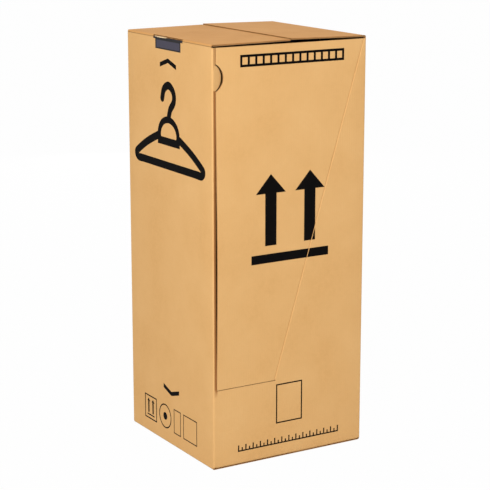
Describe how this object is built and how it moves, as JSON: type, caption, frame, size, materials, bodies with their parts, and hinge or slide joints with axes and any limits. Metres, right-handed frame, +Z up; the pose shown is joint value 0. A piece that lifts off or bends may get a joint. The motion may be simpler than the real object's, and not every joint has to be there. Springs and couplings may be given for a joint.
{
  "type": "wardrobe moving box",
  "caption": "Tall corrugated carton with a slanted-hinge front door, a hanging bar held in slots in its side walls and outer top flaps.",
  "frame": {"origin": "middle of the base, where the carton stands on the floor", "axes": "+Z up, the front wall with its door faces -Y, the left wall with the printed hanger and the slot of the bar faces -X"},
  "size_m": [0.5102, 0.509, 1.2266],
  "materials": {
    "board": "matt kraft paper on corrugated board",
    "board_top": "matt kraft paper on corrugated board",
    "bar_plastic": "dark slate moulded plastic",
    "tape": "brown packing tape",
    "ink": "flat black printing ink"
  },
  "bodies": {
    "carton": {"carton_body": "board", "hanging_bar": "bar_plastic", "bottom_tape": "tape", "hanger_print_left": "ink", "hanger_print_right": "ink", "top_mark_left": "ink", "top_mark_right": "ink", "bottom_mark_left": "ink", "bottom_mark_right": "ink", "mark_frame": "ink", "mark_arrow_rear": "ink", "mark_arrow_front": "ink", "mark_arrow_bar": "ink", "mark_ring": "ink", "mark_ring_dot": "ink", "mark_slip": "ink", "mark_panel": "ink", "front_arrow_right_edge": "ink", "front_bar_edge": "ink", "label_frame": "ink", "footer_ruler": "ink"},
    "door": {"door": "board", "title_band": "ink", "front_arrow_left": "ink", "front_arrow_right": "ink", "front_bar_door": "ink"},
    "top_flap_left": {"top_flap_left": "board_top"},
    "top_flap_right": {"top_flap_right": "board_top"}
  },
  "joints": [
    {"name": "door_swing", "type": "hinge", "parent": "carton", "child": "door", "pos_m": [-0.051, -0.251, 0.237], "axis": [0.2919, 0, 0.9565], "range_deg": [0, 150]},
    {"name": "left_flap_fold", "type": "hinge", "parent": "carton", "child": "top_flap_left", "pos_m": [-0.255, 0, 1.22], "axis": [0, -1, 0], "range_deg": [0, 255]},
    {"name": "right_flap_fold", "type": "hinge", "parent": "carton", "child": "top_flap_right", "pos_m": [0.255, 0, 1.22], "axis": [0, 1, 0], "range_deg": [0, 255]}
  ]
}
